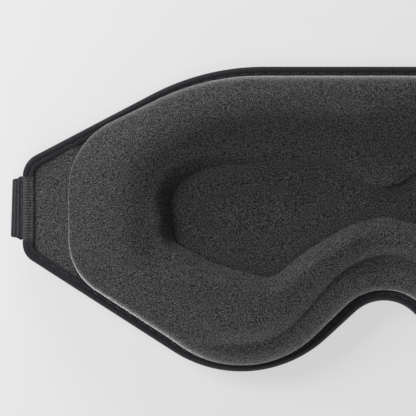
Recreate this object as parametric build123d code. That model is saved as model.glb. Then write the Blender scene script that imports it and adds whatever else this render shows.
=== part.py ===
from build123d import *
import os

# Sleep eye mask, lying on its outer face with the side that meets the face up.
# Millimetres. X runs from wing to wing, +Y towards the forehead, +Z towards the wearer.
# The origin is under the middle of the mask, on the surface that its folded straps lie on.

# Edge of the mask, from forehead to chin on the +X side: corner x, corner y, corner radius
EDGE_CORNERS = [
    (50.1, 42.5, 67.6),
    (100.9, 15.9, 6.6),
    (100.9, -9.9, 5.5),
    (36.1, -51.5, 34.95),
]
NOSE_CORNER = (0, -18.4, 11.9)

# Thicknesses, from the surface up
PATCH_T = 0.9
STRAP_T = 1.2
STRAP_GAP = 0.5
MASK_GAP = 0.6
TAPE_T = 0.6
COVER_T = 0.7
SHELL_T = 2.5
LINING_T = 0.6
PAD_H = 10.5
SKIN_T = 0.8
THREAD_T = 0.15

# Heights that follow from them
OUTER_RUN_TOP = PATCH_T + STRAP_T
INNER_RUN_Z = OUTER_RUN_TOP + STRAP_GAP
MASK_Z = INNER_RUN_Z + STRAP_T + MASK_GAP
COVER_Z = MASK_Z + TAPE_T
SHELL_Z = COVER_Z + COVER_T
LINING_Z = SHELL_Z + SHELL_T
FACE_Z = LINING_Z + LINING_T
TAPE_TOP = FACE_Z + TAPE_T
PAD_TOP = FACE_Z + PAD_H

# Edge tape: how far its two flanges reach in, and where the short end tapes begin
TAPE_REACH = 3.0
END_TAPE_X = 95.0
END_TAPE_LOW = -7.0
END_TAPE_HIGH = 12.5

# Raised pad ring and the hollows in it
PAD_INSET = 3.2
PAD_HALF_W = 87.9
PAD_CORNER_R = 14.0
PAD_ROUND = 5.0
PAD_TAPER = 18
EYE_FLARE = 16
EYE_CORNERS = [
    (59.6, 12.4, 4.5),
    (45.0, 17.2, 20.0),
    (24.0, 18.2, 20.0),
    (8.0, 12.5, 5.0),
    (8.0, -1.5, 4.5),
    (36.0, -18.2, 8.0),
    (59.6, -6.8, 4.5),
]
BRIDGE_HALF_W = 13.0
BRIDGE_LOW = 0.8
BRIDGE_HIGH = 12.8
BRIDGE_RISE = 4.0
NOSE_DIP_R = 22.0
NOSE_DIP_DEPTH = 3.5
NOSE_DIP_LENGTH = 60.0

# Straps: one elastic each side, folded back under the mask and folded again near the middle
STRAP_W = 16.4
STRAP_Y = 3.1
STRAP_ROOT_X = 101.4
STRAP_SEWN_X = 91.0
STRAP_FOLD_X = 19.0
STRAP_TIP_X = 98.0
JOINT_CLEARANCE = 0.3
PATCH_LENGTH = 46.0
PATCH_MARGIN = 0.8
PATCH_END_GAP = 1.5

# Stitches
STITCH_PITCH = 3.6
STITCH_LENGTH = 2.7
STITCH_W = 0.45
EDGE_STITCH_INSET = 2.2
PATCH_STITCH_INSET = 1.3
PATCH_STITCH_PITCH = 2.8
PATCH_STITCH_LENGTH = 2.0
PATCH_STITCH_CORNER_R = 1.0

# Cutting tools reach this far past everything
PAST = 120.0
OVERCUT = 1.0


def rounded_outline(corners):
    """A flat face whose straight sides meet in rounded corners, each (x, y, radius)."""
    points = [(x, y) for x, y, radius in corners]
    radii = [radius for x, y, radius in corners]
    return make_face(FilletPolyline(*points, radius=radii, close=True))


def mirrored(corners):
    """The same corners on the -X side, in the order that closes an outline."""
    return [(-x, y, radius) for x, y, radius in reversed(corners)]


EDGE = rounded_outline(EDGE_CORNERS + [NOSE_CORNER] + mirrored(EDGE_CORNERS))


def slab(inset, low, high):
    """A flat layer of the mask's own outline, drawn in from the edge by inset."""
    face = offset(EDGE, -inset) if inset else EDGE
    return extrude(Pos(0, 0, low) * face, high - low)


def block(x, y, z):
    """A box from three (low, high) pairs, given in either order."""
    sides = [sorted(pair) for pair in (x, y, z)]
    size = [high - low for low, high in sides]
    centre = [(high + low) / 2 for low, high in sides]
    return Pos(*centre) * Box(*size)


def strap_run(side, x_from, x_to, low):
    """A flat length of strap on one side of the mask."""
    y = (STRAP_Y - STRAP_W / 2, STRAP_Y + STRAP_W / 2)
    return block((side * x_from, side * x_to), y, (low, low + STRAP_T))


# ---- The mask itself ----

def edge_tape():
    """Tape folded over the whole edge: a flange on each face and a wall between."""
    tape = slab(0, MASK_Z, TAPE_TOP) - slab(TAPE_T, COVER_Z, FACE_Z)
    tape -= slab(TAPE_REACH, MASK_Z, TAPE_TOP)
    for side in (-1, 1):
        tape -= sewn_end(side)
    return tape


def tape_parts():
    """The tape in the four lengths that it is sewn on in."""
    tape = edge_tape()
    z = (MASK_Z - OVERCUT, TAPE_TOP + OVERCUT)
    end_y = (END_TAPE_LOW, END_TAPE_HIGH)
    return {
        "binding_bottom": tape & block((-PAST, PAST), (-PAST, END_TAPE_LOW), z),
        "binding_top": tape & block((-PAST, PAST), (END_TAPE_HIGH, PAST), z),
        "binding_end_left": tape & block((-END_TAPE_X, -PAST), end_y, z),
        "binding_end_right": tape & block((END_TAPE_X, PAST), end_y, z),
    }


def shell_foam():
    """Thin foam board with a pocket at each wing for the strap's sewn end."""
    board = slab(TAPE_T, SHELL_Z, LINING_Z)
    for side in (-1, 1):
        board -= sewn_end(side)
    return board


def pad_outline(grow):
    """Outline of the raised pad, drawn in when grow is negative."""
    face = offset(EDGE, -PAD_INSET) & Rectangle(2 * PAD_HALF_W, PAST)
    corners = face.vertices().group_by(Axis.X)
    corners = corners[0] + corners[-1]
    face = fillet(corners, PAD_CORNER_R)
    return offset(face, grow) if grow else face


def eye_hollow(side, skin):
    """The flared hollow over one eye, cut larger by the cover's thickness."""
    corners = EYE_CORNERS if side > 0 else mirrored(EYE_CORNERS)
    floor = rounded_outline(corners)
    if skin:
        floor = offset(floor, skin)
    return extrude(Pos(0, 0, FACE_Z) * floor, PAD_H + OVERCUT, taper=-EYE_FLARE)


def pad_ring(skin):
    """The raised ring round both eyes, skin thinner on every free side."""
    ring = extrude(Pos(0, 0, FACE_Z) * pad_outline(-skin), PAD_H - skin, taper=PAD_TAPER)
    ring = fillet(ring.edges().group_by(Axis.Z)[-1], PAD_ROUND - skin)
    for side in (-1, 1):
        ring -= eye_hollow(side, skin)
    bridge_x = (-BRIDGE_HALF_W, BRIDGE_HALF_W)
    bridge_y = (BRIDGE_LOW - skin, BRIDGE_HIGH + skin)
    ring -= block(bridge_x, bridge_y, (FACE_Z + BRIDGE_RISE - skin, PAD_TOP + OVERCUT))
    dip = Cylinder(NOSE_DIP_R + skin, NOSE_DIP_LENGTH, rotation=(90, 0, 0))
    dip_z = PAD_TOP - NOSE_DIP_DEPTH + NOSE_DIP_R
    return ring - Pos(0, -NOSE_DIP_LENGTH / 2, dip_z) * dip


# ---- The straps ----

def sewn_end(side):
    """The strap's end, caught between the foam board and the lining."""
    return strap_run(side, STRAP_SEWN_X, STRAP_ROOT_X, LINING_Z - STRAP_T)


def fold(side, x, low, high, bulge):
    """The half turn where a strap doubles back, outwards (bulge 1) or inwards (bulge -1).

    low and high are the heights of the undersides of the two runs that it joins.
    """
    centre_z = (low + high + STRAP_T) / 2
    inner_r = (high - low - STRAP_T) / 2
    turn = Cylinder(inner_r + STRAP_T, STRAP_W, rotation=(90, 0, 0))
    turn -= Cylinder(inner_r, STRAP_W, rotation=(90, 0, 0))
    turn &= block((0, side * bulge * PAST), (-PAST, PAST), (-PAST, PAST))
    return Pos(side * x, STRAP_Y, centre_z) * turn


def patch(side, low):
    """Hook or loop tape sewn near the strap's free end."""
    half_w = STRAP_W / 2 - PATCH_MARGIN
    far = STRAP_TIP_X - PATCH_END_GAP
    x = (side * (far - PATCH_LENGTH), side * far)
    return block(x, (STRAP_Y - half_w, STRAP_Y + half_w), (low, low + PATCH_T))


def strap_parts(name, side, outer_run_z):
    """One strap, cut where it bends, as named nodes."""
    sewn_z = LINING_Z - STRAP_T
    start_x = STRAP_ROOT_X - JOINT_CLEARANCE
    end_x = STRAP_FOLD_X + JOINT_CLEARANCE
    return {
        f"strap_{name}_sewn_end": sewn_end(side),
        f"strap_{name}_root_fold": fold(side, STRAP_ROOT_X, INNER_RUN_Z, sewn_z, 1),
        f"strap_{name}_inner_run": strap_run(side, STRAP_FOLD_X, start_x, INNER_RUN_Z),
        f"strap_{name}_middle_fold": fold(side, STRAP_FOLD_X, outer_run_z, INNER_RUN_Z, -1),
        f"strap_{name}_outer_run": strap_run(side, end_x, STRAP_TIP_X, outer_run_z),
    }


# ---- Stitches ----

def stitches(face, low, pitch, length):
    """Separate flat stitches, end to end round the edge of a face."""
    path = face.outer_wire()
    count = round(path.length / pitch)
    stitch = Box(length, STITCH_W, THREAD_T)
    found = []
    for i in range(count):
        point = path.position_at(i / count)
        along = path.tangent_at(i / count)
        place = Plane(origin=(point.X, point.Y, low + THREAD_T / 2), x_dir=along, z_dir=(0, 0, 1))
        found.append(place * stitch)
    return Compound(children=found)


def edge_stitches(low):
    """The row of stitches that holds the edge tape."""
    return stitches(offset(EDGE, -EDGE_STITCH_INSET).face(), low, STITCH_PITCH, STITCH_LENGTH)


def patch_stitches(side):
    """The row of stitches round a patch, on the strap's upper side."""
    length = PATCH_LENGTH - 2 * PATCH_STITCH_INSET
    width = STRAP_W - 2 * (PATCH_MARGIN + PATCH_STITCH_INSET)
    x = side * (STRAP_TIP_X - PATCH_END_GAP - PATCH_LENGTH / 2)
    frame = Pos(x, STRAP_Y) * RectangleRounded(length, width, PATCH_STITCH_CORNER_R)
    return stitches(frame.face(), OUTER_RUN_TOP, PATCH_STITCH_PITCH, PATCH_STITCH_LENGTH)


parts = {
    "outer_cover": slab(TAPE_T, COVER_Z, SHELL_Z),
    "shell_foam": shell_foam(),
    "inner_lining": slab(TAPE_T, LINING_Z, FACE_Z),
    "pad_foam": pad_ring(SKIN_T),
    "face_cover": pad_ring(0) - pad_ring(SKIN_T),
    "binding_stitches_face": edge_stitches(TAPE_TOP),
    "binding_stitches_back": edge_stitches(MASK_Z - THREAD_T),
    "loop_patch": patch(-1, 0),
    "loop_patch_stitches": patch_stitches(-1),
    "hook_patch": patch(1, STRAP_T),
    "hook_patch_stitches": patch_stitches(1),
}
parts.update(tape_parts())
parts.update(strap_parts("left", -1, PATCH_T))
parts.update(strap_parts("right", 1, 0))

os.makedirs("parts", exist_ok=True)
for name, shape in parts.items():
    export_step(shape, f"parts/{name}.step")
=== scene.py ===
"""Looks of a contoured sleep eye mask, built round its CAD frame: pad, layers, tape and straps."""

import math

import bpy
import numpy as np
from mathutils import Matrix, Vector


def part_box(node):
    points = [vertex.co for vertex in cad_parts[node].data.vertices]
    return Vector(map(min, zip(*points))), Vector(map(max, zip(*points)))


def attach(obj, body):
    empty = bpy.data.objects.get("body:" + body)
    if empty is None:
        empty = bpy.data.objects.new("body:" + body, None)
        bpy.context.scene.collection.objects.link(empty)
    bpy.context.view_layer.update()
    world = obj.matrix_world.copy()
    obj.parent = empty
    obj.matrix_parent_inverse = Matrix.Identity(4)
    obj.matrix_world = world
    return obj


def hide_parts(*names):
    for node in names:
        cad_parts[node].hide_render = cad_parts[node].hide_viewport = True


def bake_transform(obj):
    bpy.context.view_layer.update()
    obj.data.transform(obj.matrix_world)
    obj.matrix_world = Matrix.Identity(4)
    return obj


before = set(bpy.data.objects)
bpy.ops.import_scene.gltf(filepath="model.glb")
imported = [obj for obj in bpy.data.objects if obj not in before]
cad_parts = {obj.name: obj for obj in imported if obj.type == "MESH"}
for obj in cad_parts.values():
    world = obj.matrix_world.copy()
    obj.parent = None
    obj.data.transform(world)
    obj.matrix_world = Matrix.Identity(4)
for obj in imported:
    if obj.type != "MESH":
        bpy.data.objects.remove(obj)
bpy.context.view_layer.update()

# Lengths in this script are millimetres until a mesh is made; the frame is in metres
MM = 0.001


# ---------------------------------------------------------------- sizes from the frame

def frame_mm(node):
    """Lowest and highest corner of a CAD node, in millimetres."""
    low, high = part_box(node)
    return np.array(low) / MM, np.array(high) / MM


FACE_Z = frame_mm("inner_lining")[1][2]
COVER_Z = frame_mm("outer_cover")[0][2]
TAPE_LOW, TAPE_HIGH = frame_mm("binding_top")
TAPE_TOP = TAPE_HIGH[2]
TAPE_BOTTOM = TAPE_LOW[2]
TAPE_MID = (TAPE_TOP + TAPE_BOTTOM) / 2
TAPE_HALF = (TAPE_TOP - TAPE_BOTTOM) / 2

# ---------------------------------------------------------------- outlines, as (x, y, corner radius)

# Corners on the +X side, clockwise from the forehead; the nose corners are on the middle line.
# The edge of the whole mask:
EDGE_SIDE = [
    (50.1, 42.5, 67.6),
    (100.9, 15.9, 6.6),
    (100.9, -9.9, 5.5),
    (36.1, -51.5, 34.95),
]
EDGE_NOSE = (0, -18.4, 11.9)

# The foot of the raised pad
PAD_SIDE = [
    (49.8, 40.0, 66.0),
    (88.0, 21.4, 21.0),
    (88.0, -15.1, 16.7),
    (61.0, -32.6, 12.0),
    (36.8, -49.3, 29.4),
]
PAD_NOSE = (0, -13.9, 15.2)

# The rim of the hollow, one opening for both eyes
HOLLOW_TOP = (0, 7.4, 9.0)
HOLLOW_SIDE = [
    (16.5, 17.9, 13.0),
    (50.0, 14.8, 20.0),
    (59.9, 9.0, 9.0),
    (59.0, -6.2, 4.0),
    (47.0, -12.6, 20.0),
    (31.5, -16.9, 6.0),
    (21.5, -8.6, 28.0),
    (9.0, -1.4, 20.0),
]
HOLLOW_NOSE = (0, 0.9, 12.0)

# Spacing of the points along each outline
EDGE_STEP = 1.0
PAD_STEP = 0.8
HOLLOW_STEP = 0.6

# Points measured at a time, which keeps the memory small
BATCH = 2000


def mirrored(corners):
    """The same corners on the -X side, in the order that carries on clockwise."""
    return [(-x, y, r) for x, y, r in reversed(corners)]


def rounded_loop(corners, step):
    """Points about step apart along a closed outline whose corners are true arcs."""
    count = len(corners)
    centres = np.array([(x, y) for x, y, r in corners], float)
    pieces = []
    for i, (x, y, radius) in enumerate(corners):
        here = centres[i]
        back = centres[i - 1] - here
        ahead = centres[(i + 1) % count] - here
        back /= np.linalg.norm(back)
        ahead /= np.linalg.norm(ahead)
        half = math.acos(np.clip(back @ ahead, -1, 1)) / 2
        tangent = radius / math.tan(half)
        bisector = (back + ahead) / np.linalg.norm(back + ahead)
        middle = here + bisector * radius / math.sin(half)
        first = here + back * tangent - middle
        last = here + ahead * tangent - middle
        sweep = math.pi - 2 * half
        turns = max(3, math.ceil(radius * sweep / step))
        share = np.linspace(0, 1, turns + 1)[:, None]
        arc = (np.sin((1 - share) * sweep) * first + np.sin(share * sweep) * last) / math.sin(sweep)
        pieces.append(middle + arc)
    points = []
    for i, arc in enumerate(pieces):
        points.extend(arc)
        start, end = arc[-1], pieces[(i + 1) % count][0]
        runs = max(1, math.ceil(np.linalg.norm(end - start) / step))
        for k in range(1, runs):
            points.append(start + (end - start) * k / runs)
    return np.array(points)


def loop_length(loop):
    """Distance travelled round a closed loop at each point, and the whole length."""
    sides = np.linalg.norm(np.roll(loop, -1, 0) - loop, axis=1)
    return np.concatenate([[0], np.cumsum(sides)[:-1]]), sides.sum()


def on_loop(loop, distance):
    """Points of a closed loop at the given distances along it."""
    at, total = loop_length(loop)
    ring = np.vstack([loop, loop[:1]])
    at = np.append(at, total)
    distance = np.mod(distance, total)
    return np.stack([np.interp(distance, at, ring[:, k]) for k in (0, 1)], 1)


def inward(loop):
    """Unit normals of a clockwise loop, pointing inside."""
    along = np.roll(loop, -1, 0) - np.roll(loop, 1, 0)
    along /= np.linalg.norm(along, axis=1)[:, None]
    return np.stack([along[:, 1], -along[:, 0]], 1)


def distance_to(points, loop):
    """Shortest distance from each point to a closed loop."""
    side = np.roll(loop, -1, 0) - loop
    length2 = (side ** 2).sum(1)
    found = np.empty(len(points))
    for first in range(0, len(points), BATCH):
        part = points[first:first + BATCH, None, :]
        share = np.clip(((part - loop) * side).sum(2) / length2, 0, 1)
        gap = part - (loop + share[:, :, None] * side)
        found[first:first + BATCH] = np.sqrt((gap ** 2).sum(2)).min(1)
    return found


def inside(points, loop):
    """Whether each point is inside a closed loop."""
    x, y = points[:, 0:1], points[:, 1:2]
    x0, y0 = loop[:, 0], loop[:, 1]
    x1, y1 = np.roll(x0, -1), np.roll(y0, -1)
    crosses = ((y0 > y) != (y1 > y)) & (x < (x1 - x0) * (y - y0) / (y1 - y0 + 1e-12) + x0)
    return crosses.sum(1) % 2 == 1


EDGE_LOOP = rounded_loop(EDGE_SIDE + [EDGE_NOSE] + mirrored(EDGE_SIDE), EDGE_STEP)
PAD_LOOP = rounded_loop(PAD_SIDE + [PAD_NOSE] + mirrored(PAD_SIDE), PAD_STEP)
# The pad's long inner slope starts from the bowl, a fuller line that has no dip over the nose
BOWL = HOLLOW_SIDE + [HOLLOW_NOSE] + mirrored(HOLLOW_SIDE)
BOWL_LOOP = rounded_loop(BOWL, HOLLOW_STEP)
HOLLOW_LOOP = rounded_loop([HOLLOW_TOP] + BOWL, HOLLOW_STEP)


# ---------------------------------------------------------------- mesh helpers

def add_mesh(name, points, faces, smooth=True, values=None):
    """A mesh object from millimetre points, with named per-point values for its material."""
    mesh = bpy.data.meshes.new(name)
    mesh.from_pydata((np.asarray(points) * MM).tolist(), [], faces)
    mesh.validate()
    for key, value in (values or {}).items():
        layer = mesh.attributes.new(key, "FLOAT", "POINT")
        layer.data.foreach_set("value", np.asarray(value, np.float32))
    mesh.polygons.foreach_set("use_smooth", [smooth] * len(mesh.polygons))
    mesh.update()
    piece = bpy.data.objects.new(name, mesh)
    bpy.context.scene.collection.objects.link(piece)
    return piece


def strip_faces(rows, columns, closed=True, start=0):
    """Quads of a grid of points stored row by row; a closed grid joins its last column to its first."""
    faces = []
    for r in range(rows - 1):
        for c in range(columns if closed else columns - 1):
            near = start + r * columns
            far = near + columns
            ahead = (c + 1) % columns
            faces.append((near + c, near + ahead, far + ahead, far + c))
    return faces


def tube_faces(rings, sides, start=0):
    """Faces of a tube of rings of points, with a face over each end."""
    faces = strip_faces(rings, sides, start=start)
    last = start + (rings - 1) * sides
    faces.append(tuple(start + s for s in reversed(range(sides))))
    faces.append(tuple(last + s for s in range(sides)))
    return faces


def turned(faces):
    """The same faces with their other side out."""
    return [tuple(reversed(face)) for face in faces]


def smooth_step(value):
    """Rises gently from 0 and levels off gently at 1."""
    value = np.clip(value, 0, 1)
    return value * value * (3 - 2 * value)


def round_step(value):
    """Rises steeply from 0 and levels off at 1, as a quarter of an ellipse."""
    value = np.clip(value, 0, 1)
    return np.sqrt(1 - (1 - value) ** 2)


def dome_step(value, power=2.0):
    """Rises at once from 0 and levels off at 1; a low power keeps it steep for longer."""
    return 1 - (1 - np.clip(value, 0, 1)) ** power


def bell(value):
    """1 at 0, and falls away to nothing on both sides."""
    return np.exp(-value ** 2)


# ---------------------------------------------------------------- the moulded pad

# The pad's section at places round the ring. After the place, as (x, y) on the +X side, come:
#   height of the crest; height at the foot; height and width of the rounded shoulder above it;
#   distance from the foot to the crest;
#   shares of the height that are the sheer lip of the hollow and the steep wall above it;
#   width of the steep wall; distances from the bowl where the gentle slope starts and ends;
#   height of the soft roll along the hollow's rim
PAD_SECTIONS = [
    ((0, 28), (8.8, 2.0, 5.8, 2.4, 10, 0.01, 0.02, 3.0, 0.0, 21, 0.0)),
    ((12, 20), (8.8, 2.0, 5.8, 2.4, 10, 0.01, 0.03, 3.2, 0.0, 19, 0.2)),
    ((35, 29), (9.1, 2.0, 5.8, 2.4, 11, 0.06, 0.16, 1.8, 3.0, 19, 0.0)),
    ((62, 22), (9.3, 1.6, 5.6, 2.2, 13, 0.06, 0.45, 4.4, 2.0, 18, 0.0)),
    ((74, 3), (9.5, 5.9, 5.95, 0.5, 15, 0.03, 0.62, 4.4, 1.0, 18, 0.0)),
    ((70, -17), (8.8, 1.6, 5.6, 1.6, 13, 0.10, 0.60, 3.6, 1.0, 14, 0.8)),
    ((50, -18), (8.2, 1.8, 5.4, 2.4, 11, 0.30, 0.46, 1.6, 0.5, 6, 2.8)),
    ((30, -27), (9.2, 0.8, 6.8, 6.0, 9, 0.46, 0.62, 1.8, 0.2, 6, 0.0)),
    ((17, -15), (9.3, 0.8, 7.2, 6.4, 8, 0.50, 0.68, 1.6, 0.2, 4, 0.0)),
    ((0, -9), (8.6, 0.8, 6.8, 6.4, 8, 0.50, 0.68, 1.6, 0.2, 4, 0.0)),
]
# How far each of those places is felt
SECTION_REACH = 11.0
# A low power keeps the steep wall steep all the way up
WALL_POWER = 1.3

# The soft roll: its distance from the rim and its width
ROLL_AT = 2.8
ROLL_W = 1.9

# Soft ridge from the cheek lobe up to the nose side of the hollow; the lobe drops outside it
CHEEK_RIDGE = [
    (60, -34), (51, -33.5), (41.5, -30.5), (34, -25.5), (29, -20),
    (23, -12.8), (17, -7.6), (9, -4.2), (0, -3.4),
]
# Share of its height that the lobe loses, and where along the mask that starts and is full
CHEEK_DROP = 0.24
CHEEK_DROP_START_X = 60.0
CHEEK_DROP_FULL_X = 38.0
# Keeps the drop gradual where the ridge runs into the groove
DROP_SOFTENING = 0.1

# The groove along the lobe's edge: its distance from the edge, with more of it near the nose,
# its depth and width, and the distance past the ridge over which it deepens
GROOVE_AT = 6.0
GROOVE_NOSE = 2.6
GROOVE_NOSE_W = 16.0
GROOVE_DEPTH = 1.9
GROOVE_W = 2.2
GROOVE_FADE = 3.0

# The pad is lower over the nose notch: depth, width, and distance from the edge to full depth
NOSE_DIP = 2.6
NOSE_DIP_W = 8.0
NOSE_DIP_REACH = 4.0

# Matching places on the pad's outer line and on the rim of the hollow, (x, y) on the +X side
RING_PAIRS = [
    ((0, 40.0), (0, 9.6)),
    ((30, 40.0), (18, 17)),
    ((62, 34.5), (46, 15.2)),
    ((81, 25), (57.5, 11)),
    ((88, 2), (59.7, 2)),
    ((83, -18), (58.2, -6.5)),
    ((61, -32.6), (50, -11.2)),
    ((44, -41), (38, -14.9)),
    ((28, -38.5), (31, -15.9)),
    ((12, -22.5), (17, -5.6)),
    ((0, -19.4), (0, 0.8)),
]
# Points round the ring, and from the pad's edge to the hollow
RING_COLUMNS = 560
RING_ROWS = 64
# The rolled-under edge
SKIRT_ROWS = 5
SKIRT_INSET = 1.2
# How far the borders of the pad go below the face of the lining
PAD_SUNK = 0.2

# Easing of the heights: it starts this far from the borders and is full a reach further in
EASING_PASSES = 12
EASING_SHARE = 0.5
EASING_FROM = 1.0
EASING_REACH = 4.0

# Distance from the bowl over which the pad's painted shade fades out; it is full inside the bowl
HOLLOW_SHADE_REACH = 18.0


def folded(points):
    """The points with those of the -X side mirrored onto the +X side."""
    return np.stack([np.abs(points[:, 0]), points[:, 1]], 1)


def blended_sections(points):
    """The section values at each point, blended from the places round the ring."""
    at = np.array([place for place, values in PAD_SECTIONS], float)
    values = np.array([values for place, values in PAD_SECTIONS], float)
    gap2 = ((folded(points)[:, None, :] - at) ** 2).sum(2)
    weight = np.exp(-gap2 / (2 * SECTION_REACH ** 2)) + 1e-9
    weight /= weight.sum(1)[:, None]
    return (weight @ values).T


def beyond_ridge(points):
    """Distance past the cheek ridge towards the edge of the mask; 0 on its inner side."""
    ridge = np.array(CHEEK_RIDGE, float)
    places = folded(points)
    best = np.full(len(points), np.inf)
    sign = np.zeros(len(points))
    for start, end in zip(ridge[:-1], ridge[1:]):
        side = end - start
        share = np.clip((places - start) @ side / (side @ side), 0, 1)
        gap = places - (start + share[:, None] * side)
        size = np.linalg.norm(gap, axis=1)
        turn = side[0] * gap[:, 1] - side[1] * gap[:, 0]
        closer = size < best
        best = np.where(closer, size, best)
        sign = np.where(closer, np.sign(turn), sign)
    return np.where(sign > 0, best, 0)


def with_cheek_groove(outer, foot, points, to_edge):
    """The pad's height with the lobe lowered outside the ridge and its groove pressed in."""
    x = np.abs(points[:, 0])
    lobe = smooth_step((CHEEK_DROP_START_X - x) / (CHEEK_DROP_START_X - CHEEK_DROP_FULL_X))
    past = beyond_ridge(points)
    groove_at = GROOVE_AT + GROOVE_NOSE * bell(x / GROOVE_NOSE_W)
    to_groove = np.maximum(to_edge - groove_at, 0)
    fallen = lobe * (past / (past + to_groove + DROP_SOFTENING)) ** 2
    lowered = foot + (outer - foot) * (1 - CHEEK_DROP * fallen)
    groove = lobe * smooth_step(past / GROOVE_FADE) * bell((to_edge - groove_at) / GROOVE_W)
    return lowered - GROOVE_DEPTH * groove


def nose_dip(points, to_edge):
    """How much lower the pad is over the nose notch."""
    below_hollow = points[:, 1] < HOLLOW_NOSE[1]
    return NOSE_DIP * bell(points[:, 0] / NOSE_DIP_W) * below_hollow * smooth_step(to_edge / NOSE_DIP_REACH)


def pad_height(points):
    """Height of the moulded pad above the lining."""
    to_edge = distance_to(points, PAD_LOOP)
    to_hollow = distance_to(points, HOLLOW_LOOP)
    to_bowl = distance_to(points, BOWL_LOOP) * ~inside(points, BOWL_LOOP)
    (crest, foot, shoulder, shoulder_w, rise_w,
     sheer, steep, steep_w, slope_from, slope_to, roll) = blended_sections(points)
    outer = foot + (shoulder - foot) * round_step(to_edge / shoulder_w)
    outer += (crest - shoulder) * dome_step(to_edge / rise_w)
    outer += roll * bell((to_hollow - ROLL_AT) / ROLL_W)
    outer = with_cheek_groove(outer, foot, points, to_edge) - nose_dip(points, to_edge)
    wall = sheer + (steep - sheer) * dome_step(to_hollow / steep_w, WALL_POWER)
    wall += (1 - steep) * smooth_step((to_bowl - slope_from) / (slope_to - slope_from))
    return outer * wall


def matched_columns():
    """Where each column of the ring starts on the pad's edge and ends on the hollow's rim."""
    right = np.array(RING_PAIRS, float)
    left = right[-2:0:-1] * (-1, 1)
    pairs = np.concatenate([right, left])
    stops = []
    for loop, which in ((PAD_LOOP, 0), (HOLLOW_LOOP, 1)):
        at, total = loop_length(loop)
        found = np.array([at[np.argmin(((loop - pair[which]) ** 2).sum(1))] for pair in pairs])
        # Counted on past the loop's first point, so that the distances only grow
        found = np.mod(found - found[0], total) + found[0]
        stops.append(np.append(found, found[0] + total))
    columns = np.linspace(stops[0][0], stops[0][-1], RING_COLUMNS, endpoint=False)
    return on_loop(PAD_LOOP, columns), on_loop(HOLLOW_LOOP, np.interp(columns, stops[0], stops[1]))


def eased(height, flat):
    """Heights averaged with their neighbours, except near the pad's edge and the hollow's lip."""
    reach = np.minimum(distance_to(flat, PAD_LOOP), distance_to(flat, HOLLOW_LOOP))
    share = EASING_SHARE * smooth_step((reach - EASING_FROM) / EASING_REACH)
    share = share.reshape(RING_ROWS, RING_COLUMNS)
    height = height.reshape(RING_ROWS, RING_COLUMNS)
    for _ in range(EASING_PASSES):
        padded = np.pad(height, ((1, 1), (0, 0)), mode="edge")
        mean = (padded[:-2] + padded[2:] + np.roll(height, 1, 1) + np.roll(height, -1, 1)) / 4
        height = height + share * (mean - height)
    return height.ravel()


def pad_mesh(name):
    """The moulded ring as one skin: its rolled-under edge, its face, and its lip into the hollow.

    The half of the face on the hollow's side takes the piece's second material.
    """
    edge, rim = matched_columns()
    # The rows are closer together at the edge and at the rim, where the pad is steep
    share = 0.5 - 0.5 * np.cos(np.pi * np.linspace(0, 1, RING_ROWS))
    flat = np.concatenate([edge + (rim - edge) * s for s in share])
    height = eased(pad_height(flat), flat)
    top = np.column_stack([flat, FACE_Z + height])
    first, last = top[:RING_COLUMNS], top[-RING_COLUMNS:]
    inner = (rim - edge) / np.linalg.norm(rim - edge, axis=1)[:, None]
    skirt = []
    for k in range(SKIRT_ROWS, 0, -1):
        turn = math.pi / 2 * k / SKIRT_ROWS
        place = first[:, :2] + inner * SKIRT_INSET * (1 - math.cos(turn))
        z = first[:, 2] - (first[:, 2] - FACE_Z + PAD_SUNK) * math.sin(turn)
        skirt.append(np.column_stack([place, z]))
    sunk = last.copy()
    sunk[:, 2] = FACE_Z - PAD_SUNK
    # The lip is a strip of its own, so that the light breaks cleanly where the pad turns down
    points = np.concatenate(skirt + [top, last, sunk])
    rows = SKIRT_ROWS + RING_ROWS
    faces = strip_faces(rows, RING_COLUMNS) + strip_faces(2, RING_COLUMNS, start=rows * RING_COLUMNS)
    # Painted shade on the pad: full inside the bowl's outline, fading out over the reach
    hollow_shade = 1 - smooth_step(distance_to(points[:, :2], BOWL_LOOP) / HOLLOW_SHADE_REACH)
    hollow_shade = np.maximum(hollow_shade, inside(points[:, :2], BOWL_LOOP))
    piece = add_mesh(name, points, turned(faces), values={"hollow_shade": hollow_shade})
    hollow_side = np.arange(len(faces)) >= (SKIRT_ROWS + RING_ROWS // 2) * RING_COLUMNS
    piece.data.polygons.foreach_set("material_index", hollow_side.astype(np.int32))
    return piece


# ---------------------------------------------------------------- flat fabric layers

# Both layers stop this far inside the mask's edge, under the tape
LAYER_INSET = 1.0
# Sides of the squares that each layer's mesh is made of
LINING_STEP = 1.2
COVER_STEP = 1.5
# Points that stand for the outline when the grid's border is pulled onto it
OUTLINE_POINTS = 4000

# The wing slopes up towards the pad
WING_END = 101.0
WING_RISE_FROM = 86.0
WING_RISE = 1.2

# The floor of the hollow dips under the eyes: depth, and distance from the rim to full depth
FLOOR_DIP = 0.5
FLOOR_DIP_REACH = 14.0

# The cover is a shallow pillow: lift at its edge, then how far it swells, from where, and over what
COVER_EDGE_LIFT = 0.1
COVER_SWELL = 0.45
COVER_SWELL_FROM = 2.0
COVER_SWELL_REACH = 9.0


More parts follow.
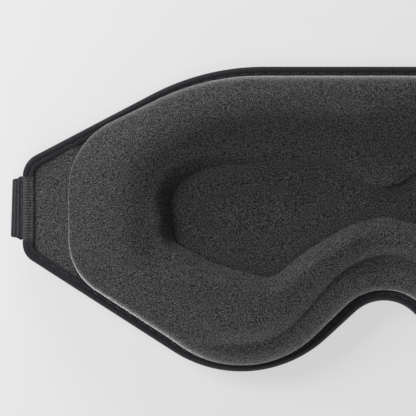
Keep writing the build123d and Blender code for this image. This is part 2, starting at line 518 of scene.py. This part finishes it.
def clipped_grid(loop, step):
    """A grid of squares inside a loop, its border points pulled onto the loop."""
    low, high = loop.min(0), loop.max(0)
    xs = np.arange(math.floor(low[0] / step), math.ceil(high[0] / step) + 1) * step
    ys = np.arange(math.floor(low[1] / step), math.ceil(high[1] / step) + 1) * step
    grid = np.stack(np.meshgrid(xs, ys), -1).reshape(-1, 2)
    keep = inside(grid, loop)
    columns = len(xs)
    faces = []
    for r in range(len(ys) - 1):
        for c in range(columns - 1):
            a = r * columns + c
            quad = (a, a + 1, a + columns + 1, a + columns)
            if all(keep[i] for i in quad):
                faces.append(quad)
    used = sorted({i for quad in faces for i in quad})
    number = {old: new for new, old in enumerate(used)}
    faces = [tuple(number[i] for i in quad) for quad in faces]
    points = grid[used]
    counts = {}
    for quad in faces:
        for i in range(4):
            side = frozenset((quad[i], quad[(i + 1) % 4]))
            counts[side] = counts.get(side, 0) + 1
    border = sorted({i for side, n in counts.items() if n == 1 for i in side})
    outline = on_loop(loop, np.linspace(0, loop_length(loop)[1], OUTLINE_POINTS, endpoint=False))
    for i in border:
        points[i] = outline[np.argmin(((outline - points[i]) ** 2).sum(1))]
    return points, faces


def lining_mesh():
    """The lining: sloping wings, and a hollow floor that dips a little under the eyes."""
    points, faces = clipped_grid(EDGE_LOOP + inward(EDGE_LOOP) * LAYER_INSET, LINING_STEP)
    depth = distance_to(points, HOLLOW_LOOP) * inside(points, HOLLOW_LOOP)
    dip = FLOOR_DIP * smooth_step(depth / FLOOR_DIP_REACH)
    wing = np.clip((np.abs(points[:, 0]) - WING_RISE_FROM) / (WING_END - WING_RISE_FROM), 0, 1)
    z = FACE_Z - dip + WING_RISE * (0.5 - wing) * (wing > 0)
    # The hollow's floor carries painted shade: its knit is drawn darker there
    return add_mesh("lining_sheet", np.column_stack([points, z]), faces, values={"hollow_shade": depth > 0})


def cover_mesh():
    """The outer cover: a shallow pillow that is drawn in under the edge tape."""
    points, faces = clipped_grid(EDGE_LOOP + inward(EDGE_LOOP) * LAYER_INSET, COVER_STEP)
    to_edge = distance_to(points, EDGE_LOOP)
    swell = COVER_SWELL * smooth_step((to_edge - COVER_SWELL_FROM) / COVER_SWELL_REACH)
    z = COVER_Z + COVER_EDGE_LIFT - swell
    return add_mesh("outer_cover_sheet", np.column_stack([points, z]), turned(faces))


# ---------------------------------------------------------------- edge tape and stitches

SEAM_INSET = 1.85
# Section of the folded tape, (distance in from the edge, height as a share from mid to face):
# a rounded bead, the groove of the seam and a flat selvedge on each face, and the inner side
TAPE_SECTION = [
    (3.0, 0.80), (3.06, 0.93), (2.7, 0.99), (2.2, 0.99), (SEAM_INSET, 0.90), (1.5, 1.00), (0.9, 1.05),
    (0.35, 0.95), (0.05, 0.70), (0.0, 0.35), (0.0, -0.35), (0.05, -0.70), (0.35, -0.95), (0.9, -1.05),
    (1.5, -1.00), (SEAM_INSET, -0.90), (2.2, -0.99), (2.7, -0.99), (3.06, -0.93), (3.0, -0.80),
    (0.7, -0.70), (0.62, 0.0), (0.7, 0.70),
]
# The edge tape stands out this much more than the wing end tape
EDGE_TAPE_THICKER = 0.12
# The edge tape runs on this far under the wing end tape
TAPE_OVERLAP = 1.2
# The wing end tapes lie further out than this
WING_END_FROM_X = 90.0

STITCH_PITCH = 3.6
STITCH_LENGTH = 2.7
STITCH_W = 0.4
STITCH_T = 0.25
STITCH_RINGS = 7
STITCH_SIDES = 8
# Height of the thread's middle above the tape, and how far its ends sink, as a share of its thickness
STITCH_PROUD = 0.05
STITCH_END_SINK = 0.35
# Keeps the closed ends of the thread from shrinking to a point
STITCH_LEAST_BULGE = 0.02


def tape_mesh(name, chosen, thicker):
    """A length of folded tape along the part of the edge where chosen is true."""
    loop = EDGE_LOOP
    if chosen[0]:
        shift = int(np.argmin(chosen))
        loop = np.roll(loop, -shift, 0)
        chosen = np.roll(chosen, -shift)
    normal = inward(loop)
    path, normal = loop[chosen], normal[chosen]
    along = np.concatenate([[0], np.cumsum(np.linalg.norm(np.diff(path, axis=0), axis=1))])
    section = smoothed_section(TAPE_SECTION)
    points, run = [], []
    for place, n, distance in zip(path, normal, along):
        for inset, height in section:
            flat = place + n * (inset - thicker)
            points.append((flat[0], flat[1], TAPE_MID + height * (TAPE_HALF + thicker)))
            run.append(distance)
    faces = turned(tube_faces(len(path), len(section)))
    return add_mesh(name, points, faces, values={"along": run})


def smoothed_section(section):
    """The closed section with an extra point in each side, rounded by one averaging pass."""
    corners = np.array(section, float)
    middles = (corners + np.roll(corners, -1, 0)) / 2
    rounded = 0.5 * corners + 0.25 * (middles + np.roll(middles, 1, 0))
    both = np.empty((2 * len(corners), 2))
    both[0::2] = rounded
    both[1::2] = middles
    return both


def stitch_mesh(name, path, z):
    """A row of separate stitches: short threads with rounded, sunken ends."""
    total = loop_length(path)[1]
    count = round(total / STITCH_PITCH)
    points, faces = [], []
    for i in range(count):
        middle = total * i / count
        ends = on_loop(path, np.array([middle - STITCH_LENGTH / 2, middle + STITCH_LENGTH / 2]))
        along = ends[1] - ends[0]
        cross = np.array([-along[1], along[0]]) / np.linalg.norm(along)
        faces += tube_faces(STITCH_RINGS, STITCH_SIDES, start=len(points))
        for share in np.linspace(0, 1, STITCH_RINGS):
            bulge = math.sqrt(max(STITCH_LEAST_BULGE, 1 - (2 * share - 1) ** 4))
            centre = ends[0] + along * share
            sunk = STITCH_T * STITCH_END_SINK * (1 - bulge)
            for s in range(STITCH_SIDES):
                turn = 2 * math.pi * s / STITCH_SIDES
                flat = centre + cross * math.cos(turn) * STITCH_W / 2 * bulge
                points.append((flat[0], flat[1], z + math.sin(turn) * STITCH_T / 2 * bulge - sunk))
    return add_mesh(name, points, faces)


# ---------------------------------------------------------------- straps

ROOT_LOW, ROOT_HIGH = frame_mm("strap_right_sewn_end")
INNER_LOW, INNER_HIGH = frame_mm("strap_right_inner_run")
STRAP_T = ROOT_HIGH[2] - ROOT_LOW[2]
STRAP_W = ROOT_HIGH[1] - ROOT_LOW[1]
STRAP_Y = (ROOT_HIGH[1] + ROOT_LOW[1]) / 2
# The elastic is a little wider where it leaves the wing, and its folds lie a little askew
STRAP_FLARE = 0.09
STRAP_FLARE_REACH = 0.9
STRAP_SLANT = 0.014
# Points across a flat face of the elastic, and round each of its edges
ACROSS_POINTS = 14
EDGE_POINTS = 7
# Distance along the elastic at which the ribs of the second piece start
SECOND_PIECE_ALONG = 50.0
# Points closer together than this are the same place
SAME_PLACE = 1e-6


def arc_path(centre_x, centre_z, radius, outwards, steps=16):
    """Half turn from the upper run round to the lower run, as (x, z) points."""
    turns = np.linspace(0, math.pi, steps + 1)
    return [(centre_x + outwards * radius * math.sin(t), centre_z + radius * math.cos(t)) for t in turns]


def line_path(x_from, x_to, z, step=2.0):
    """Level run from one x to the other, as (x, z) points."""
    count = max(2, math.ceil(abs(x_to - x_from) / step))
    return [(x_from + (x_to - x_from) * i / count, z) for i in range(count + 1)]


def strap_section():
    """Round-edged section of the elastic: across, and through its thickness."""
    half_t = STRAP_T / 2
    flat = STRAP_W / 2 - half_t
    section = [(y, half_t) for y in np.linspace(-flat, flat, ACROSS_POINTS)]
    for turn in np.linspace(math.pi / 2, -math.pi / 2, EDGE_POINTS)[1:-1]:
        section.append((flat + half_t * math.cos(turn), half_t * math.sin(turn)))
    section += [(y, -half_t) for y in np.linspace(flat, -flat, ACROSS_POINTS)]
    for turn in np.linspace(-math.pi / 2, -3 * math.pi / 2, EDGE_POINTS)[1:-1]:
        section.append((-flat + half_t * math.cos(turn), half_t * math.sin(turn)))
    return section


def strap_mesh(name, side, path, start_along=0.0):
    """A ribbon of elastic that follows a path of (x, z) points on the +X side, mirrored for side -1."""
    path = np.array(path, float)
    # Runs and folds share their end points, so a point that repeats the one before it is left out
    gaps = np.linalg.norm(np.diff(path, axis=0), axis=1)
    path = path[np.concatenate([[True], gaps > SAME_PLACE])]
    along = np.concatenate([[0], np.cumsum(np.linalg.norm(np.diff(path, axis=0), axis=1))]) + start_along
    tangent = np.gradient(path, axis=0)
    tangent /= np.linalg.norm(tangent, axis=1)[:, None]
    section = strap_section()
    points, run = [], []
    for (x, z), (tx, tz), distance in zip(path, tangent, along):
        past_root = x - ROOT_HIGH[0]
        flare = 1 + STRAP_FLARE * bell(past_root / STRAP_FLARE_REACH) * (z > INNER_HIGH[2])
        for y, t in section:
            slant = STRAP_SLANT * y * max(0.0, past_root)
            points.append((side * (x - tz * t - slant), STRAP_Y + y * flare, z + tx * t))
            run.append(distance)
    faces = tube_faces(len(path), len(section))
    if side > 0:
        faces = turned(faces)
    return add_mesh(name, points, faces, values={"along": run})


def make_strap(name, side):
    """Both pieces of one strap, each bending across one joint."""
    outer_low, outer_high = frame_mm(f"strap_{name}_outer_run")
    root_x, fold_x = ROOT_HIGH[0], INNER_LOW[0]
    tip_x = max(abs(outer_low[0]), abs(outer_high[0]))
    # The two pieces meet halfway along the inner run
    meet_x = (root_x + fold_x) / 2
    root_z = (ROOT_LOW[2] + ROOT_HIGH[2]) / 2
    inner_z = (INNER_LOW[2] + INNER_HIGH[2]) / 2
    outer_z = (outer_low[2] + outer_high[2]) / 2
    path = line_path(ROOT_LOW[0], root_x, root_z)
    path += arc_path(root_x, (root_z + inner_z) / 2, (root_z - inner_z) / 2, 1)
    path += line_path(root_x, meet_x, inner_z)
    first = strap_mesh(f"strap_{name}_first_half", side, path)
    path = line_path(meet_x, fold_x, inner_z)
    path += arc_path(fold_x, (inner_z + outer_z) / 2, (inner_z - outer_z) / 2, -1)
    path += line_path(fold_x, tip_x, outer_z)
    second = strap_mesh(f"strap_{name}_second_half", side, path, SECOND_PIECE_ALONG)
    return first, second


# ---------------------------------------------------------------- materials

# Colours are linear red, green and blue; texture scales are features per metre
FLECKS_PER_M = 3300
FIBRES_PER_M = 6200
KNIT_STITCHES_PER_M = 1900
WEAVE_FLECKS_PER_M = 2400
FOAM_CELLS_PER_M = 1500
THREAD_TWISTS_PER_M = 900
PILE_CURLS_PER_M = 2600
NYLON_CLOUDS_PER_M = 500

# Shares of the coarse flecks and the fine fibres in the knit's tone, and of the ribs in a weave's
FLECK_SHARE = 0.65
FIBRE_SHARE = 0.35
RIB_SHARE = 0.18

# Dark, middle and light fibres of the knit
CHARCOAL = ((0.006, 0.006, 0.0065), (0.039, 0.037, 0.038), (0.110, 0.105, 0.107))
CHARCOAL_LINING = ((0.007, 0.007, 0.007), (0.043, 0.041, 0.042), (0.118, 0.113, 0.114))
# Share of its tone that the knit keeps in painted shade: on the pad towards the hollow, and on the hollow's
# floor
PAD_SHADED_TONE = 0.82
FLOOR_SHADED_TONE = 0.68

# Dark and light yarns of the tapes and the elastic
EDGE_TAPE = ((0.011, 0.011, 0.013), (0.034, 0.035, 0.039))
END_TAPE = ((0.020, 0.020, 0.020), (0.082, 0.080, 0.078))
ELASTIC = ((0.012, 0.012, 0.014), (0.045, 0.047, 0.052))

FOAM = ((0.05, 0.05, 0.052), (0.13, 0.13, 0.135))
THREAD = ((0.008, 0.008, 0.009), (0.034, 0.034, 0.038))
PILE = ((0.006, 0.006, 0.007), (0.06, 0.06, 0.064))
NYLON = ((0.012, 0.012, 0.014), (0.032, 0.032, 0.036))


def new_material(name, base, roughness, sheen=0.0, sheen_rough=0.5):
    """A material with its nodes, links, shader, and the object coordinates of its surface."""
    material = bpy.data.materials.new(name)
    material.use_nodes = True
    nodes = material.node_tree.nodes
    shader = nodes["Principled BSDF"]
    shader.inputs["Base Color"].default_value = (*base, 1)
    shader.inputs["Roughness"].default_value = roughness
    shader.inputs["Specular IOR Level"].default_value = 0.05
    shader.inputs["Sheen Weight"].default_value = sheen
    shader.inputs["Sheen Roughness"].default_value = sheen_rough
    shader.inputs["Sheen Tint"].default_value = (1, 1, 1, 1)
    place = nodes.new("ShaderNodeTexCoord").outputs["Object"]
    return material, nodes, material.node_tree.links, shader, place


def noise(nodes, links, place, scale, detail, roughness):
    """Cloudy grey noise."""
    node = nodes.new("ShaderNodeTexNoise")
    node.inputs["Scale"].default_value = scale
    node.inputs["Detail"].default_value = detail
    node.inputs["Roughness"].default_value = roughness
    links.new(place, node.inputs["Vector"])
    return node.outputs["Fac"]


def cells(nodes, links, place, scale):
    """Distance from the middles of irregular cells."""
    node = nodes.new("ShaderNodeTexVoronoi")
    node.inputs["Scale"].default_value = scale
    links.new(place, node.inputs["Vector"])
    return node.outputs["Distance"]


def ramp(nodes, links, source, places, colours):
    """The colours, reached at the given places of the source value."""
    node = nodes.new("ShaderNodeValToRGB")
    line = node.color_ramp
    while len(line.elements) < len(colours):
        line.elements.new(0.5)
    for element, place, colour in zip(line.elements, places, colours):
        element.position = place
        element.color = (*colour, 1)
    links.new(source, node.inputs["Fac"])
    return node.outputs["Color"]


def math_node(nodes, links, kind, *values):
    """A sum or other operation on numbers and sockets."""
    node = nodes.new("ShaderNodeMath")
    node.operation = kind
    for socket, value in zip(node.inputs, values):
        if isinstance(value, (int, float)):
            socket.default_value = value
        else:
            links.new(value, socket)
    return node.outputs["Value"]


def attribute(nodes, key):
    """A value that the piece carries at its points."""
    node = nodes.new("ShaderNodeAttribute")
    node.attribute_name = key
    return node.outputs["Fac"]


def bump(nodes, links, shader, height, strength, distance):
    """Fine relief from a height value; the distance is in metres."""
    node = nodes.new("ShaderNodeBump")
    node.inputs["Strength"].default_value = strength
    node.inputs["Distance"].default_value = distance
    links.new(height, node.inputs["Height"])
    links.new(node.outputs["Normal"], shader.inputs["Normal"])


def darkened(nodes, links, colour, where, least):
    """The colour, scaled down to its least share where the value is 1."""
    share = math_node(nodes, links, "MULTIPLY_ADD", where, least - 1.0, 1.0)
    scale = nodes.new("ShaderNodeVectorMath")
    scale.operation = "SCALE"
    links.new(colour, scale.inputs[0])
    links.new(share, scale.inputs["Scale"])
    return scale.outputs["Vector"]


def heather_knit(name, colours, sheen, shaded_tone=1.0):
    """Charcoal knit: dark and light fibres mixed in flecks, small stitches and a soft nap.

    Where the piece's own value for the hollow's shade is 1, the colour is darkened to the given share:
    painted shade.
    """
    material, nodes, links, shader, place = new_material(name, colours[0], 0.95, sheen, 0.3)
    flecks = noise(nodes, links, place, FLECKS_PER_M, detail=1.0, roughness=0.6)
    fibres = noise(nodes, links, place, FIBRES_PER_M, detail=1.0, roughness=0.5)
    fibres_part = math_node(nodes, links, "MULTIPLY", fibres, FIBRE_SHARE)
    mixed = math_node(nodes, links, "MULTIPLY_ADD", flecks, FLECK_SHARE, fibres_part)
    colour = ramp(nodes, links, mixed, (0.38, 0.5, 0.62), colours)
    # Painted shade: the colour is darkened by the piece's shade value, towards and inside the hollow
    if shaded_tone < 1.0:
        colour = darkened(nodes, links, colour, attribute(nodes, "hollow_shade"), shaded_tone)
    links.new(colour, shader.inputs["Base Color"])
    stitches = cells(nodes, links, place, KNIT_STITCHES_PER_M)
    height = math_node(nodes, links, "ADD", stitches, flecks)
    bump(nodes, links, shader, height, strength=0.6, distance=0.0002)
    return material


def ribbed(name, colours, ribs_per_mm, sheen):
    """Woven or knitted narrow fabric with ribs across its length."""
    material, nodes, links, shader, place = new_material(name, colours[0], 0.9, sheen, 0.4)
    turn = math_node(nodes, links, "MULTIPLY", attribute(nodes, "along"), 2 * math.pi * ribs_per_mm)
    wave = math_node(nodes, links, "SINE", turn)
    flecks = noise(nodes, links, place, WEAVE_FLECKS_PER_M, detail=3.0, roughness=0.6)
    level = math_node(nodes, links, "MULTIPLY_ADD", wave, RIB_SHARE, flecks)
    links.new(ramp(nodes, links, level, (0.3, 0.72), colours), shader.inputs["Base Color"])
    bump(nodes, links, shader, level, strength=0.6, distance=0.0002)
    return material


def open_cell_foam():
    """Grey foam with small open cells."""
    material, nodes, links, shader, place = new_material("open_cell_foam", FOAM[1], 0.95)
    depth = cells(nodes, links, place, FOAM_CELLS_PER_M)
    links.new(ramp(nodes, links, depth, (0.0, 0.6), FOAM), shader.inputs["Base Color"])
    bump(nodes, links, shader, depth, strength=0.6, distance=0.0003)
    return material


def twisted_thread():
    """Sewing thread: fine diagonal twist that catches a little light."""
    material, nodes, links, shader, place = new_material("dark_thread", THREAD[1], 0.65, 0.2)
    twist = nodes.new("ShaderNodeTexWave")
    twist.bands_direction = "DIAGONAL"
    twist.inputs["Scale"].default_value = THREAD_TWISTS_PER_M
    twist.inputs["Distortion"].default_value = 1.5
    links.new(place, twist.inputs["Vector"])
    tone = twist.outputs["Fac"]
    links.new(ramp(nodes, links, tone, (0.2, 0.8), THREAD), shader.inputs["Base Color"])
    bump(nodes, links, shader, tone, strength=0.5, distance=0.0001)
    return material


def loop_pile():
    """Brushed loops: curly dark fibres with paler tips."""
    material, nodes, links, shader, place = new_material("loop_pile", PILE[1], 0.95, 0.5)
    curls = noise(nodes, links, place, PILE_CURLS_PER_M, detail=4.0, roughness=0.7)
    links.new(ramp(nodes, links, curls, (0.35, 0.7), PILE), shader.inputs["Base Color"])
    bump(nodes, links, shader, curls, strength=0.8, distance=0.0004)
    return material


def hook_nylon():
    """Moulded hook tape: smooth nylon, a little uneven in tone and polish."""
    material, nodes, links, shader, place = new_material("hook_nylon", NYLON[1], 0.45)
    cloud = noise(nodes, links, place, NYLON_CLOUDS_PER_M, detail=3.0, roughness=0.6)
    links.new(ramp(nodes, links, cloud, (0.3, 0.7), NYLON), shader.inputs["Base Color"])
    polish = math_node(nodes, links, "MULTIPLY_ADD", cloud, 0.4, 0.25)
    links.new(polish, shader.inputs["Roughness"])
    bump(nodes, links, shader, cloud, strength=0.2, distance=0.0001)
    return material


# ---------------------------------------------------------------- hook and loop

HOOK_BASE_T = 0.35
HOOK_BASE_CHAMFER = 0.1
HOOK_MARGIN = 1.2
HOOK_PITCH = 1.3
HOOK_SIDES = 6

PILE_COLUMNS = 93
PILE_LINES = 31
PILE_SEED = 4
# Depth of the tufts below the pile's full height, least and most, and at the patch's border
TUFT_LEAST = 0.05
TUFT_MOST = 0.3
TUFT_BORDER = 0.35


def hook_mesh(name, node):
    """Hook tape: a thin base set with rows of small mushroom-shaped hooks."""
    low, high = frame_mm(node)
    base_top = low[2] + HOOK_BASE_T
    # The base, chamfered all round: (height, distance in from the patch's outline)
    base = (
        (low[2] + 0.02, HOOK_BASE_CHAMFER), (low[2] + 0.12, 0.0),
        (base_top - 0.08, 0.0), (base_top, HOOK_BASE_CHAMFER),
    )
    points = []
    for z, inset in base:
        x0, x1 = low[0] + inset, high[0] - inset
        y0, y1 = low[1] + inset, high[1] - inset
        points += [(x0, y0, z), (x1, y0, z), (x1, y1, z), (x0, y1, z)]
    faces = tube_faces(len(base), 4)
    # Each hook is turned from this profile: (height, radius)
    profile = (
        (base_top - 0.05, 0.17), (high[2] - 0.3, 0.12),
        (high[2] - 0.22, 0.3), (high[2] - 0.08, 0.26), (high[2] - 0.02, 0.08),
    )
    length, width = high[:2] - low[:2] - 2 * HOOK_MARGIN
    columns, lines = int(length / HOOK_PITCH), int(width / HOOK_PITCH)
    for i in range(columns + 1):
        for k in range(lines + 1):
            # Every other row is shifted by half a pitch
            x = low[0] + HOOK_MARGIN + length * i / columns
            y = low[1] + HOOK_MARGIN + width * (k + 0.5 * (i % 2)) / (lines + 0.5)
            faces += tube_faces(len(profile), HOOK_SIDES, start=len(points))
            for z, radius in profile:
                for s in range(HOOK_SIDES):
                    turn = 2 * math.pi * s / HOOK_SIDES
                    points.append((x + radius * math.cos(turn), y + radius * math.sin(turn), z))
    return add_mesh(name, points, faces, smooth=False)


def loop_mesh(name, node):
    """Loop tape: a low pile whose surface is tufted, on the strap's underside."""
    low, high = frame_mm(node)
    rng = np.random.default_rng(PILE_SEED)
    tuft = rng.uniform(TUFT_LEAST, TUFT_MOST, (PILE_LINES, PILE_COLUMNS))
    tuft[[0, -1], :] = TUFT_BORDER
    tuft[:, [0, -1]] = TUFT_BORDER
    xs = np.linspace(low[0], high[0], PILE_COLUMNS)
    ys = np.linspace(low[1], high[1], PILE_LINES)
    flat = np.stack(np.meshgrid(xs, ys), -1).reshape(-1, 2)
    pile = np.column_stack([flat, low[2] + tuft.ravel()])
    backing = np.column_stack([flat, np.full(len(flat), high[2])])
    count = len(flat)
    faces = turned(strip_faces(PILE_LINES, PILE_COLUMNS, closed=False))
    faces += strip_faces(PILE_LINES, PILE_COLUMNS, closed=False, start=count)
    # The points along the border, once round, join the pile to the backing
    number = np.arange(count).reshape(PILE_LINES, PILE_COLUMNS)
    border = np.concatenate([number[0], number[1:, -1], number[-1, -2::-1], number[-2:0:-1, 0]])
    for a, b in zip(border.tolist(), np.roll(border, -1).tolist()):
        faces.append((a, b, b + count, a + count))
    return add_mesh(name, np.concatenate([pile, backing]), faces)


# ---------------------------------------------------------------- camera and light

# The middle of the view on the floor, its height, and the width in view there
VIEW_X, VIEW_Y, VIEW_Z = -49.2, 3.1, 8.0
VIEW_WIDTH = 116.3
CAMERA_DISTANCE = 1200.0
FLOOR_HALF = 1500.0

# Area lights: name, place in metres, width and height in metres, and power in watts
LIGHTS = [
    ("left_light", (-0.35, 0.12, 0.30), 0.2, 0.2, 1.65),
    ("forehead_light", (-0.30, 1.0, 0.27), 0.6, 0.25, 10.4),
    ("cheek_light", (-0.25, -0.9, 0.60), 0.5, 0.4, 1.2),
    ("low_cheek_light", (0.30, -1.0, 0.045), 0.5, 0.06, 11.0),
    ("overhead_light", (-0.22, -0.32, 1.2), 0.6, 0.6, 3.7),
]


def set_camera():
    """A camera straight above, far enough off to see the mask almost without perspective."""
    scene = bpy.context.scene
    scene.view_settings.view_transform = "Standard"
    scene.view_settings.look = "None"
    data = bpy.data.cameras.new("camera")
    data.sensor_width = 36.0
    data.lens = data.sensor_width * CAMERA_DISTANCE / VIEW_WIDTH
    data.clip_end = 10.0
    camera = bpy.data.objects.new("camera", data)
    camera.location = (VIEW_X * MM, VIEW_Y * MM, (VIEW_Z + CAMERA_DISTANCE) * MM)
    scene.collection.objects.link(camera)
    scene.camera = camera


def add_floor():
    """A pale floor that glows a little, so that it stays evenly pale under soft light."""
    corners = [(x * FLOOR_HALF, y * FLOOR_HALF, 0) for x, y in ((-1, -1), (1, -1), (1, 1), (-1, 1))]
    floor = add_mesh("floor", corners, [(0, 1, 2, 3)])
    material, _, _, shader, _ = new_material("pale_floor", (0.20, 0.198, 0.198), 0.9)
    shader.inputs["Emission Color"].default_value = (1, 1, 1, 1)
    shader.inputs["Emission Strength"].default_value = 0.56
    floor.data.materials.append(material)


def add_lights():
    """Soft area lights that face the middle of the mask, and a dim white surround."""
    scene = bpy.context.scene
    world = bpy.data.worlds.new("studio")
    world.use_nodes = True
    world.node_tree.nodes["Background"].inputs["Color"].default_value = (1, 1, 1, 1)
    world.node_tree.nodes["Background"].inputs["Strength"].default_value = 0.10
    scene.world = world
    for name, place, width, height, power in LIGHTS:
        data = bpy.data.lights.new(name, "AREA")
        data.shape = "RECTANGLE"
        data.size = width
        data.size_y = height
        data.energy = power
        light = bpy.data.objects.new(name, data)
        light.location = place
        light.rotation_euler = (-light.location).to_track_quat("-Z", "Y").to_euler()
        scene.collection.objects.link(light)


# ---------------------------------------------------------------- build

def finish_piece(piece, material, body, slot, *nodes):
    """Gives a piece its material and the body it rides on, and hides the CAD nodes it replaces. The slot is
    not used.
    """
    piece.data.materials.append(material)
    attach(piece, body)
    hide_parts(*nodes)


def recolour(node, material):
    """Shows a CAD node as it is, in another material."""
    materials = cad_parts[node].data.materials
    materials.clear()
    materials.append(material)


set_camera()
add_floor()
add_lights()

# The pad's and the lining's knits are drawn darker round and in the hollow, as painted shade
knit_face = heather_knit("heather_knit_face", CHARCOAL, 0.9, PAD_SHADED_TONE)
knit_hollow = heather_knit("heather_knit_hollow", CHARCOAL, 0.10, PAD_SHADED_TONE)
knit_floor = heather_knit("heather_knit_lining", CHARCOAL_LINING, 0.3, FLOOR_SHADED_TONE)
knit_cover = heather_knit("heather_knit_cover", CHARCOAL, 0.3)
edge_tape = ribbed("edge_tape_weave", EDGE_TAPE, ribs_per_mm=1.6, sheen=0.05)
end_tape = ribbed("end_tape_weave", END_TAPE, ribs_per_mm=1.3, sheen=0.08)
elastic = ribbed("elastic_knit", ELASTIC, ribs_per_mm=1.1, sheen=0.05)
thread = twisted_thread()
foam = open_cell_foam()
pile = loop_pile()
nylon = hook_nylon()

# The pad: its nap stands up on the outer half, and lies flat on the half towards the hollow
pad = pad_mesh("moulded_pad")
finish_piece(pad, knit_face, "mask", "face_fabric", "face_cover", "pad_foam")
pad.data.materials.append(knit_hollow)

# The two flat layers and the foam board between them
lining = lining_mesh()
finish_piece(lining, knit_floor, "mask", "lining_fabric", "inner_lining")
cover = cover_mesh()
finish_piece(cover, knit_cover, "mask", "cover_fabric", "outer_cover")
recolour("shell_foam", foam)

# The tape round the edge, in four lengths, and the stitches through it
end_low, end_high = frame_mm("binding_end_right")
edge_x, edge_y = EDGE_LOOP.T
at_end = (np.abs(edge_x) > WING_END_FROM_X) & (edge_y > end_low[1]) & (edge_y < end_high[1])
upper = edge_y >= end_high[1] - TAPE_OVERLAP
lower = edge_y <= end_low[1] + TAPE_OVERLAP
tape = tape_mesh("edge_tape_forehead", upper, EDGE_TAPE_THICKER)
finish_piece(tape, edge_tape, "mask", "edge_tape", "binding_top")
tape = tape_mesh("edge_tape_cheek", lower, EDGE_TAPE_THICKER)
finish_piece(tape, edge_tape, "mask", "edge_tape", "binding_bottom")
for name, side in (("left", -1), ("right", 1)):
    tape = tape_mesh(f"wing_end_tape_{name}", at_end & (edge_x * side > 0), 0.0)
    finish_piece(tape, end_tape, "mask", "end_tape", f"binding_end_{name}")

seam = EDGE_LOOP + inward(EDGE_LOOP) * SEAM_INSET
for name, z in (("face", TAPE_TOP + STITCH_PROUD), ("back", TAPE_BOTTOM - STITCH_PROUD)):
    stitches = stitch_mesh(f"edge_stitches_{name}", seam, z)
    finish_piece(stitches, thread, "mask", "thread", f"binding_stitches_{name}")

# The straps: two pieces each, with flat runs between the folds
for name, side in (("left", -1), ("right", 1)):
    first, second = make_strap(name, side)
    for piece in (first, second):
        piece.data.materials.append(elastic)
    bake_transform(first)
    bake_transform(second)
    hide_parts(f"strap_{name}_sewn_end", f"strap_{name}_root_fold", f"strap_{name}_inner_run")
    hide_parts(f"strap_{name}_middle_fold", f"strap_{name}_outer_run")

# The fastening: loop on the left strap's free end and hook on the right one's
loops = loop_mesh("loop_tape", "loop_patch")
finish_piece(loops, pile, "left_strap_outer", "loop_pile", "loop_patch")
hooks = hook_mesh("hook_tape", "hook_patch")
finish_piece(hooks, nylon, "right_strap_outer", "hook_tape", "hook_patch")
recolour("loop_patch_stitches", thread)
recolour("hook_patch_stitches", thread)
